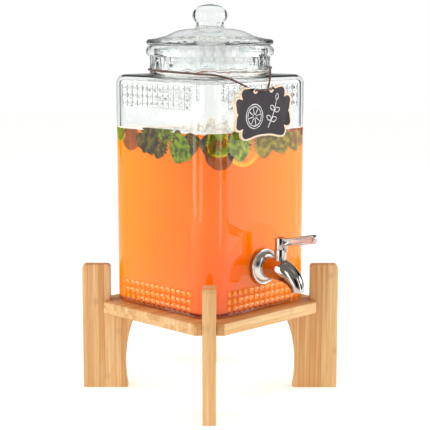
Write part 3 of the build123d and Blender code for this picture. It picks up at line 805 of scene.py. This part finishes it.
# Drink with pulp, with painted light in its colour: a painted glow, yellower towards the ends of each
# face away from the front left corner, and a faint emission so that it glows though it is no lamp.
cloudy_drink, tree, place = new_material("cloudy_orange_drink")
clouds = add_node(
    tree, "ShaderNodeTexNoise", {"Vector": (place, "Object"), "Scale": 9.0, "Detail": 3.0}
)
cloud_share = add_node(
    tree, "ShaderNodeMapRange", {"Value": (clouds, "Fac"), "From Min": 0.35, "From Max": 0.7}
)
axes = add_node(tree, "ShaderNodeSeparateXYZ", {"Vector": (place, "Object")})
back_left = add_node(tree, "ShaderNodeMath", {0: (axes, "X"), 1: (axes, "Y")}, operation="SUBTRACT")
across = add_node(tree, "ShaderNodeMath", {0: (back_left, 0)}, operation="ABSOLUTE")
# painted light: the colour turns yellower away from the front left corner
painted_glow_share = add_node(
    tree,
    "ShaderNodeMapRange",
    {"Value": (across, 0), "From Min": 0.02, "From Max": 0.12, "To Max": 1.0},
)
body_colour = add_node(
    tree,
    "ShaderNodeMix",
    {0: (cloud_share, 0), 6: colour("#FA6A00"), 7: colour("#FF7602")},
    data_type="RGBA",
)
drink_colour = add_node(
    tree,
    "ShaderNodeMix",
    {0: (painted_glow_share, 0), 6: (body_colour, 2), 7: colour("#FF8E02")},
    data_type="RGBA",
)
# Each stud of the lower band is a small lens, and its light is painted into the drink's colour: a
# painted bright spot on the drink behind it and a painted darker edge of shade round the spot.
above_band = add_node(
    tree, "ShaderNodeMath", {0: (axes, "Z"), 1: band_middle - band_rise}, operation="SUBTRACT"
)
spot = nearest_groove(tree, axes, above_band, depth=inner_half - 0.0005)
painted_spot_share = add_node(
    tree,
    "ShaderNodeMapRange",
    {"Value": (spot, 0), "From Min": 0.05, "From Max": 0.34, "To Min": -1.0, "To Max": 1.0},
    interpolation_type="SMOOTHSTEP",
)
in_band = within_band(tree, axes, above_band, 0.0)
spots = add_node(
    tree, "ShaderNodeMath", {0: (painted_spot_share, 0), 1: (in_band, 0)}, operation="MULTIPLY"
)
# painted highlight of each lens spot, then the painted shade round it
bright = add_node(
    tree, "ShaderNodeMath", {0: (spots, 0), 1: 0.75}, operation="MULTIPLY", use_clamp=True
)
dark = add_node(
    tree, "ShaderNodeMath", {0: (spots, 0), 1: -0.55}, operation="MULTIPLY", use_clamp=True
)
spotted = add_node(
    tree,
    "ShaderNodeMix",
    {0: (bright, 0), 6: (drink_colour, 2), 7: colour("#FFB02E")},
    data_type="RGBA",
)
drink_tone = add_node(
    tree, "ShaderNodeMix", {0: (dark, 0), 6: (spotted, 2), 7: colour("#D84E00")}, data_type="RGBA"
)
# The faint emission is a painted glow.
surface = add_node(
    tree,
    "ShaderNodeBsdfPrincipled",
    {
        "Base Color": (drink_tone, 2),
        "Roughness": 0.6,
        "Specular IOR Level": 0.0,
        "Emission Color": (drink_tone, 2),
        "Emission Strength": 0.06,
    },
)
add_node(tree, "ShaderNodeOutputMaterial", {"Surface": (surface, "BSDF")})
drink.data.materials.append(cloudy_drink)
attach(drink, "jar")

# A skin of thin foam with bits of pulp and mint lies on the drink.
thin_foam, tree, place = new_material("thin_foam_and_pulp")
patches = add_node(
    tree, "ShaderNodeTexNoise", {"Vector": (place, "Object"), "Scale": 70.0, "Detail": 5.0}
)
patch_share = add_node(
    tree, "ShaderNodeMapRange", {"Value": (patches, "Fac"), "From Min": 0.52, "From Max": 0.64}
)
crumbs = add_node(
    tree, "ShaderNodeTexNoise", {"Vector": (place, "Object"), "Scale": 210.0, "Detail": 2.0}
)
crumb_share = add_node(
    tree, "ShaderNodeMapRange", {"Value": (crumbs, "Fac"), "From Min": 0.56, "From Max": 0.63}
)
foam_base = add_node(
    tree,
    "ShaderNodeMix",
    {0: (patch_share, 0), 6: colour("#EFE9E4"), 7: colour("#D9A368")},
    data_type="RGBA",
)
foam_colour = add_node(
    tree,
    "ShaderNodeMix",
    {0: (crumb_share, 0), 6: (foam_base, 2), 7: colour("#4E4A2A")},
    data_type="RGBA",
)
surface = add_node(
    tree, "ShaderNodeBsdfPrincipled", {"Base Color": (foam_colour, 2), "Roughness": 0.6}
)
add_node(tree, "ShaderNodeOutputMaterial", {"Surface": (surface, "BSDF")})
drink.data.materials.append(thin_foam)
for face in drink.data.polygons:
    face.material_index = 1 if face.normal.z > 0.99 else 0

# Froth: a collar of small bubbles round the glass and patches of foam on the surface.
froth_top = drink_top + 0.0018
collar = rounded_block(
    "froth_collar", inner_half + wet, inner_corner, drink_top - 0.0006, froth_top
)
hole = rounded_block(
    "collar_hole", inner_half - 0.0035, inner_corner, drink_top - 0.01, froth_top + 0.01
)
cut_out(collar, hole)
froth, tree, place = new_material("drink_froth")
bubbles = add_node(tree, "ShaderNodeTexVoronoi", {"Vector": (place, "Object"), "Scale": 420.0})
froth_colour = add_node(
    tree,
    "ShaderNodeMix",
    {0: (bubbles, "Distance"), 6: colour("#FFFFFF"), 7: colour("#F6E3CD")},
    data_type="RGBA",
)
froth_bump = add_node(
    tree, "ShaderNodeBump", {"Height": (bubbles, "Distance"), "Distance": 0.0008, "Strength": 0.5}
)
surface = add_node(
    tree,
    "ShaderNodeBsdfPrincipled",
    {"Base Color": (froth_colour, 2), "Roughness": 0.5, "Normal": (froth_bump, "Normal")},
)
add_node(tree, "ShaderNodeOutputMaterial", {"Surface": (surface, "BSDF")})
collar.data.materials.append(froth)
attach(collar, "jar")

draw = random.Random(7)
deselect()
foam_bits = []
for k in range(150):
    place_x, place_y = draw.uniform(-0.07, 0.07), draw.uniform(-0.07, 0.07)
    if abs(place_x) + abs(place_y) > 0.125:
        continue
    size = draw.uniform(0.0012, 0.0045)
    bpy.ops.mesh.primitive_ico_sphere_add(
        subdivisions=2, radius=size, location=(place_x, place_y, drink_top), scale=(1, 1, 0.45)
    )
    foam_bits.append(bpy.context.object)
deselect()
for bit in foam_bits:
    bit.select_set(True)
bpy.context.view_layer.objects.active = foam_bits[0]
bpy.ops.object.join()
foam = bpy.context.object
foam.name = "foam_bubbles"
bpy.ops.object.transform_apply(location=True, rotation=True, scale=True)
bpy.ops.object.shade_smooth()
foam.data.materials.append(froth)
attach(foam, "jar")

# ---- Orange and lime wheels -----------------------------------------------------------------
# Cut across the fruit, a few millimetres thick: rind, pith and wet flesh. They float against the
# glass and are covered by the cloudy drink.
slice_thickness = 0.0045


def wheel(name, radius, rind):
    """A fruit slice lying on the XY plane with its face up, in rings of faces for rind, pith and flesh.
    """
    deselect()
    bpy.ops.mesh.primitive_circle_add(vertices=54, radius=radius, fill_type="NGON")
    piece = bpy.context.object
    piece.name = name
    bpy.ops.object.mode_set(mode="EDIT")
    bpy.ops.mesh.select_all(action="SELECT")
    bpy.ops.mesh.inset(thickness=rind * 0.55)
    bpy.ops.mesh.inset(thickness=rind * 0.45)
    for _ in range(3):
        bpy.ops.mesh.inset(thickness=radius * 0.2)
    bpy.ops.mesh.poke()
    modify(piece, "SOLIDIFY", thickness=slice_thickness, offset=-1)
    return piece


def paint(name, code, spots, grain_size=0.0012):
    """Wet fruit colour that varies between two tones."""
    material, tree, place = new_material(name)
    noise = add_node(
        tree,
        "ShaderNodeTexNoise",
        {"Vector": (place, "Object"), "Scale": 1 / grain_size, "Detail": 2.0},
    )
    broad = add_node(
        tree, "ShaderNodeTexNoise", {"Vector": (place, "Object"), "Scale": 90.0, "Detail": 2.0}
    )
    share = add_node(
        tree, "ShaderNodeMath", {0: (noise, "Fac"), 1: (broad, "Fac")}, operation="MULTIPLY"
    )
    spread = add_node(
        tree, "ShaderNodeMapRange", {"Value": (share, 0), "From Min": 0.12, "From Max": 0.42}
    )
    mixed = add_node(
        tree, "ShaderNodeMix", {0: (spread, 0), 6: colour(code), 7: colour(spots)}, data_type="RGBA"
    )
    bump = add_node(
        tree, "ShaderNodeBump", {"Height": (noise, "Fac"), "Distance": 0.0004, "Strength": 0.4}
    )
    surface = add_node(
        tree,
        "ShaderNodeBsdfPrincipled",
        {
            "Base Color": (mixed, 2),
            "Roughness": 0.35,
            "Normal": (bump, "Normal"),
            "Specular IOR Level": 0.1,
        },
    )
    add_node(tree, "ShaderNodeOutputMaterial", {"Surface": (surface, "BSDF")})
    return material


orange_rind = paint("orange_rind", "#FFB000", "#FFCC1E")
orange_pith = paint("orange_pith", "#FFA830", "#FFB84C")
orange_flesh = paint("orange_flesh", "#F07A12", "#FF9C3C")
lime_rind = paint("lime_rind", "#A79A10", "#D3C12A")
lime_flesh = paint("lime_flesh", "#5E7A10", "#93A32A")
# painted shade: a darker copy of the orange flesh, for the slices deeper under the drink
painted_shade_flesh = paint("orange_flesh_painted_shade", "#7E4004", "#B25A0A", grain_size=0.004)


def set_against(piece, side, along, height, turn=0.0, depth=0.0004):
    """Lays a flat piece on the left or front inner wall and bends it round the wall's corners."""
    pick(piece)
    piece.rotation_euler.z = math.radians(turn)
    bpy.ops.object.transform_apply(location=True, rotation=True, scale=True)
    straight = inner_half - inner_corner
    start = along if side == "front" else -along
    for vertex in piece.data.vertices:
        reach, out = start + vertex.co.x, vertex.co.z + depth
        past = max(0.0, abs(reach) - straight)
        a = past / inner_corner
        x = min(abs(reach), straight) + (inner_corner + out) * math.sin(a)
        y = straight + (inner_corner + out) * math.cos(a)
        x = math.copysign(x, reach)
        place = (x, -y) if side == "front" else (-y, -x)
        vertex.co = (*place, height + vertex.co.y)


def cut_at_surface(piece, height):
    """Takes off what stands above the drink, and closes the cut."""
    choose(piece, "FACE", lambda face: True)
    bpy.ops.mesh.bisect(
        plane_co=(0, 0, height), plane_no=(0, 0, 1), use_fill=True, clear_outer=True
    )
    bpy.ops.object.mode_set(mode="OBJECT")


def citrus(name, radius, side, along, height, skins):
    """A fruit wheel with rind, pith and flesh, set against the glass."""
    rind, pith, flesh = skins
    piece = wheel(name, radius, radius * 0.16)
    for material in (rind, pith, flesh):
        piece.data.materials.append(material)
    for face in piece.data.polygons:
        reach = face.center.to_2d().length
        if reach > radius * 0.92:
            face.material_index = 0
        elif reach > radius * 0.80:
            face.material_index = 1
        else:
            face.material_index = 2
    set_against(piece, side, along, height)
    cut_at_surface(piece, drink_top + 0.0005)
    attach(piece, "jar")


orange_skins = (orange_rind, orange_pith, orange_flesh)
lime_skins = (lime_rind, lime_rind, lime_flesh)
# the deeper slices are all in the painted shade copy
painted_shade_skins = (painted_shade_flesh, painted_shade_flesh, painted_shade_flesh)
citrus("orange_wheel_front", 0.0280, "front", -0.0275, 0.2845, orange_skins)
citrus("orange_wheel_deep", 0.0165, "front", -0.0590, 0.2715, painted_shade_skins)
citrus("lime_wheel_front", 0.0150, "front", -0.0600, 0.2830, lime_skins)
citrus("orange_wheel_right", 0.0160, "front", 0.0590, 0.2890, painted_shade_skins)
citrus("orange_wheel_left", 0.0140, "left", 0.0420, 0.2830, painted_shade_skins)
citrus("lime_wheel_left", 0.0100, "left", 0.0600, 0.2880, lime_skins)

# ---- Mint leaves ----------------------------------------------------------------------------
# Fresh mint, floating in bunches: oval leaves with a toothed edge, a midrib and side veins.
# Their greens are lit and shaded copies of one mint: painted shade where the drink lies over them,
# painted light where they catch the light.
teeth = 9  # on each side of a leaf


def mint_leaf(name, length, width):
    """A leaf on the XY plane, its stalk at the origin and its tip at +Y."""
    deselect()
    bpy.ops.mesh.primitive_grid_add(x_subdivisions=10, y_subdivisions=54, size=1)
    piece = bpy.context.object
    piece.name = name
    for vertex in piece.data.vertices:
        u, v = vertex.co.x * 2, vertex.co.y + 0.5
        half = width / 2 * math.sin(math.pi * min(v**0.85 * 0.96 + 0.03, 1)) ** 0.7
        half *= 1 + 0.34 * (((v * teeth) % 1) - 0.6) * abs(u)
        half *= 1 + 0.12 * math.sin(v * 9 + width * 900) * (1 if u > 0 else -1)
        vein = math.cos((v * 7 - abs(u) * 1.6) * 2 * math.pi)
        lift = -0.00025 * max(0, vein) ** 6 - 0.0003 * math.exp(-((u * 9) ** 2))
        vertex.co = (u * half, v * length, lift)
    modify(piece, "SOLIDIFY", thickness=0.0009, offset=-1)
    pick(piece)
    bpy.ops.object.shade_smooth()
    return piece


def mint_green(name, dark, light):
    """Mint: a wet, slightly glossy blade, its veins paler and its blade darker between them."""
    material, tree, place = new_material(name)
    blotches = add_node(
        tree, "ShaderNodeTexNoise", {"Vector": (place, "Object"), "Scale": 130.0, "Detail": 5.0}
    )
    share = add_node(
        tree, "ShaderNodeMapRange", {"Value": (blotches, "Fac"), "From Min": 0.44, "From Max": 0.58}
    )
    veins = add_node(
        tree,
        "ShaderNodeTexVoronoi",
        {"Vector": (place, "Object"), "Scale": 330.0},
        feature="DISTANCE_TO_EDGE",
    )
    vein_share = add_node(
        tree,
        "ShaderNodeMapRange",
        {"Value": (veins, "Distance"), "From Max": 0.12, "To Min": 0.45, "To Max": 0.0},
    )
    blade = add_node(
        tree, "ShaderNodeMix", {0: (share, 0), 6: colour(dark), 7: colour(light)}, data_type="RGBA"
    )
    veined = add_node(
        tree,
        "ShaderNodeMix",
        {0: (vein_share, 0), 6: (blade, 2), 7: colour(light)},
        data_type="RGBA",
    )
    surface = add_node(
        tree,
        "ShaderNodeBsdfPrincipled",
        {"Base Color": (veined, 2), "Roughness": 0.45, "Specular IOR Level": 0.15},
    )
    add_node(tree, "ShaderNodeOutputMaterial", {"Surface": (surface, "BSDF")})
    return material


# Lit and shaded copies of one mint, with the light painted in: painted shade under the drink, painted
# light at the glass, the drink's painted haze, and painted light.
painted_shade_mint = mint_green("mint_in_painted_shade", "#1E1800", "#665A00")
painted_light_mint = mint_green("mint_in_painted_light_at_glass", "#4A5C00", "#A8B82C")
painted_haze_mint = mint_green("mint_in_painted_drink_haze", "#5E5008", "#AA981C")
painted_lit_mint = mint_green("mint_in_painted_light", "#2C3C00", "#88A000")
leaves = (
    ("left", -0.0050, 0.2975, 0.035, 0.032, 172, painted_shade_mint),
    ("left", 0.0060, 0.2960, 0.032, 0.026, 150, painted_shade_mint),
    ("left", 0.0170, 0.2930, 0.028, 0.026, 200, painted_shade_mint),
    ("left", -0.0120, 0.2985, 0.019, 0.026, 186, painted_lit_mint),
    ("left", 0.0300, 0.2880, 0.020, 0.016, 215, painted_shade_mint),
    ("left", -0.0430, 0.2880, 0.031, 0.036, 148, painted_lit_mint),
    ("left", -0.0520, 0.2930, 0.024, 0.024, 172, painted_shade_mint),
    ("left", -0.0330, 0.2950, 0.024, 0.014, 168, painted_shade_mint),
    ("front", -0.0340, 0.2960, 0.034, 0.038, 182, painted_light_mint),
    ("front", -0.0710, 0.2925, 0.024, 0.018, 176, painted_shade_mint),
    ("front", 0.0060, 0.2930, 0.030, 0.036, 172, painted_haze_mint),
    ("front", 0.0290, 0.2930, 0.027, 0.036, 186, painted_haze_mint),
    ("front", 0.0500, 0.2900, 0.022, 0.028, 190, painted_haze_mint),
)
for count, (side, along, height, length, width, turn, green) in enumerate(leaves):
    leaf = mint_leaf(f"mint_leaf_{count + 1}", length, width)
    set_against(leaf, side, along, height, turn, depth=0.0005 + 0.0002 * (count % 3))
    cut_at_surface(leaf, drink_top + 0.003)
    leaf.data.materials.append(green)
    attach(leaf, "jar")

# ---- Lid ------------------------------------------------------------------------------------
# Pressed glass lid with a solid knob. Clear silicone on its skirt seals it in the neck.
lid = smooth_copy("lid_glass", "glass_lid", 35, "lid")
lid.data.materials.append(clear_glass("lid_glass", 0.03, "#FAFDFC"))


def silicone(name, tint, roughness):
    """Moulded silicone rubber: milky, soft sheen, slightly see-through."""
    sockets = {"Base Color": colour(tint), "IOR": 1.41, "Transmission Weight": 0.85}
    return grained(name, 160.0, roughness - 0.02, roughness + 0.02, sockets)


clear_silicone = silicone("clear_silicone", "#F7F8F8", 0.24)
lid_gasket = smooth_copy("lid_gasket", "lid_seal", 30, "lid")
lid_gasket.data.materials.append(clear_silicone)

# ---- Tap ------------------------------------------------------------------------------------
# Cast stainless steel, mirror polished. A threaded shank goes through the glass between two
# silicone washers, and a nut holds it from the inside.


def steel(name, low, high, tint="#BDB6B0"):
    """Polished stainless steel with faint wipe marks."""
    sockets = {"Base Color": colour(tint), "Metallic": 1.0}
    return grained(name, 240.0, low, high, sockets, detail=4.0)


mirror_steel = steel("mirror_polished_steel", 0.02, 0.07)
satin_steel = steel("satin_steel", 0.16, 0.30, "#D2CFC8")
blasted_steel = steel("bead_blasted_steel", 0.5, 0.7, "#F2F0EE")
for node, name, angle, body, finish in (
    ("spigot_body", "tap_body", 40, "jar", mirror_steel),
    ("escutcheon", "tap_ring", 40, "jar", satin_steel),
    ("inner_washer", "steel_washer", 30, "jar", satin_steel),
    ("lock_nut", "hexagon_nut", 30, "jar", satin_steel),
    ("plug_clip", "spring_clip", 30, "jar", satin_steel),
    ("valve_plug", "tap_plug", 30, "lever", mirror_steel),
    ("lever", "tap_lever", 35, "lever", mirror_steel),
    ("lever_screw", "socket_screw", 30, "lever", satin_steel),
):
    piece = smooth_copy(node, name, angle, body)
    piece.data.materials.append(finish)
    if node == "lever":
        # the shallow panel on each side of the blade is bead-blasted
        piece.data.materials.append(blasted_steel)
        for face in piece.data.polygons:
            sunk = abs(face.normal.x) > 0.99 and abs(face.center.x) < 0.0023
            face.material_index = 1 if sunk else 0

washer_silicone = silicone("washer_silicone", "#D8DAD8", 0.4)
for node, name in (("outer_gasket", "outer_silicone_washer"), ("inner_gasket", "inner_silicone_washer")):
    piece = smooth_copy(node, name, 30, "jar")
    piece.data.materials.append(washer_silicone)

rubber_sockets = {"Base Color": colour("#151515")}
black_rubber = grained("black_nitrile_rubber", 700.0, 0.45, 0.7, rubber_sockets)
rings = smooth_copy("plug_o_rings", "o_rings", 40, "lever")
rings.data.materials.append(black_rubber)

# ---- Chalk tag ------------------------------------------------------------------------------
# Thin plywood plaque, cut by a laser, with its face painted in blackboard paint up to a bare
# wooden border. A slice of fruit and a sprig are drawn on it in chalk.
tag = smooth_copy("chalk_tag", "chalk_plaque", 30, "tag")
bare_wood, tree, place = new_material("birch_plywood")
fibre = add_node(tree, "ShaderNodeTexNoise", {"Vector": (place, "Object"), "Scale": 500.0})
wood_colour = add_node(
    tree,
    "ShaderNodeMix",
    {0: (fibre, "Fac"), 6: colour("#EBD8C0"), 7: colour("#D9BFA0")},
    data_type="RGBA",
)
surface = add_node(
    tree, "ShaderNodeBsdfPrincipled", {"Base Color": (wood_colour, 2), "Roughness": 0.7}
)
add_node(tree, "ShaderNodeOutputMaterial", {"Surface": (surface, "BSDF")})

# Blackboard paint: dead matt, with a haze of wiped chalk.
blackboard, tree, place = new_material("blackboard_paint")
haze = add_node(
    tree, "ShaderNodeTexNoise", {"Vector": (place, "Object"), "Scale": 60.0, "Detail": 5.0}
)
speck = add_node(
    tree, "ShaderNodeTexNoise", {"Vector": (place, "Object"), "Scale": 2200.0, "Detail": 2.0}
)
chalk_dust = add_node(
    tree, "ShaderNodeMath", {0: (haze, "Fac"), 1: (speck, "Fac")}, operation="MULTIPLY"
)
board_colour = add_node(
    tree,
    "ShaderNodeMix",
    {0: (chalk_dust, 0), 6: colour("#2B262B"), 7: colour("#4B444A")},
    data_type="RGBA",
)
board_bump = add_node(
    tree, "ShaderNodeBump", {"Height": (speck, "Fac"), "Distance": 0.0001, "Strength": 0.3}
)
surface = add_node(
    tree,
    "ShaderNodeBsdfPrincipled",
    {"Base Color": (board_colour, 2), "Roughness": 0.85, "Normal": (board_bump, "Normal")},
)
add_node(tree, "ShaderNodeOutputMaterial", {"Surface": (surface, "BSDF")})
tag.data.materials.append(bare_wood)
tag.data.materials.append(blackboard)
border = 0.0019
choose(tag, "FACE", lambda face: True)
bpy.ops.mesh.dissolve_limited(angle_limit=math.radians(1))
choose(tag, "FACE", lambda face: face.normal.y < -0.99)
bpy.ops.mesh.inset(thickness=border, use_even_offset=True)
bpy.ops.object.mode_set(mode="OBJECT")
for face in tag.data.polygons:
    face.material_index = 1 if face.select and face.normal.y < -0.99 else 0

# The chalk drawing: strokes of blunt chalk, rough at the edges and thin on the board.
chalk, tree, place = new_material("white_chalk")
grit = add_node(
    tree, "ShaderNodeTexNoise", {"Vector": (place, "Object"), "Scale": 1300.0, "Detail": 3.0}
)
chalk_share = add_node(
    tree, "ShaderNodeMapRange", {"Value": (grit, "Fac"), "From Min": 0.4, "From Max": 0.6}
)
chalk_colour = add_node(
    tree,
    "ShaderNodeMix",
    {0: (chalk_share, 0), 6: colour("#A9A5A8"), 7: colour("#F2F1EF")},
    data_type="RGBA",
)
chalk_bump = add_node(
    tree, "ShaderNodeBump", {"Height": (grit, "Fac"), "Distance": 0.0002, "Strength": 0.7}
)
surface = add_node(
    tree,
    "ShaderNodeBsdfPrincipled",
    {"Base Color": (chalk_colour, 2), "Roughness": 0.95, "Normal": (chalk_bump, "Normal")},
)
add_node(tree, "ShaderNodeOutputMaterial", {"Surface": (surface, "BSDF")})
tag_low, tag_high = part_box("chalk_tag")
tag_tilt = math.radians(1.2)
tag_centre = ((tag_low[0] + tag_high[0]) / 2, (tag_low[2] + tag_high[2]) / 2)


def on_tag(right, up):
    """A place on the tag's face, from its middle, before the tilt."""
    x = tag_centre[0] + right * math.cos(tag_tilt) - up * math.sin(tag_tilt)
    z = tag_centre[1] + right * math.sin(tag_tilt) + up * math.cos(tag_tilt)
    return (x, tag_low[1], z)


slice_middle = (-0.014, -0.003)
slice_radius = 0.0125


def on_slice(reach, a):
    """A place on the drawn slice, at a share of its radius and an angle."""
    return (
        slice_middle[0] + slice_radius * reach * math.cos(a),
        slice_middle[1] + slice_radius * reach * math.sin(a),
    )


strokes = []
for reach in (1.0, 0.8):
    strokes.append([on_slice(reach, 2 * math.pi * k / 24) for k in range(25)])
for k in range(8):
    strokes.append([on_slice(reach, math.pi * k / 4 + 0.2) for reach in (0.14, 0.43, 0.72)])
stalk = [(0.006, -0.016), (0.012, -0.007), (0.017, 0.003), (0.0195, 0.012)]
strokes.append(stalk)
for root_x, root_y, direction, size in (
    (0.0105, -0.009, 15, 0.0095),
    (0.0115, -0.008, 150, 0.0085),
    (0.0160, 0.001, 10, 0.0090),
    (0.0165, 0.002, 145, 0.0080),
    (0.0195, 0.012, 75, 0.0075),
):
    leaf_line = []
    for k in range(9):
        v = abs(k - 4) / 4
        side = 1 if k < 4 else -1
        forward = size * (1 - v)
        aside = side * size * 0.30 * math.sin(math.pi * (1 - v)) if k != 4 else 0
        a = math.radians(direction)
        leaf_line.append(
            (
                root_x + forward * math.cos(a) - aside * math.sin(a),
                root_y + forward * math.sin(a) + aside * math.cos(a),
            )
        )
    strokes.append(leaf_line)
stroke_radius = 0.00058
flattening = 0.3  # the chalk lies flatter than it is wide
stroke_pieces = []
for stroke in strokes:
    carrier = soft_line("stroke", [on_tag(right, up) for right, up in stroke], 4)
    carrier.data.bevel_depth = stroke_radius
    carrier.data.bevel_resolution = 1
    for point in carrier.data.splines[0].points:
        point.radius = draw.uniform(0.75, 1.2)
    stroke_pieces.append(carrier)
deselect()
for carrier in stroke_pieces:
    carrier.select_set(True)
bpy.context.view_layer.objects.active = stroke_pieces[0]
bpy.ops.object.convert(target="MESH")
bpy.ops.object.join()
drawing = bpy.context.object
drawing.name = "chalk_drawing"
for vertex in drawing.data.vertices:
    vertex.co.y = tag_low[1] + (vertex.co.y - tag_low[1]) * flattening
drawing.data.materials.clear()
drawing.data.materials.append(chalk)
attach(drawing, "tag")

# ---- Twine through the tag ------------------------------------------------------------------
# The same jute, pinched through both holes and lying across the tag's face.
tag_points = [
    (-0.01999, -0.0840, 0.33554),
    (-0.01999, -0.0882, 0.33554),
    (0.00401, -0.0882, 0.33605),
    (0.00401, -0.0840, 0.33605),
]
front_route = smooth_route(tag_points)
front_twine = twist_plies("twine_through_tag", front_route, twine_thickness, twine_pitch)
front_twine.data.materials.append(jute)
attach(front_twine, "tag")
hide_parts("tag_twine")
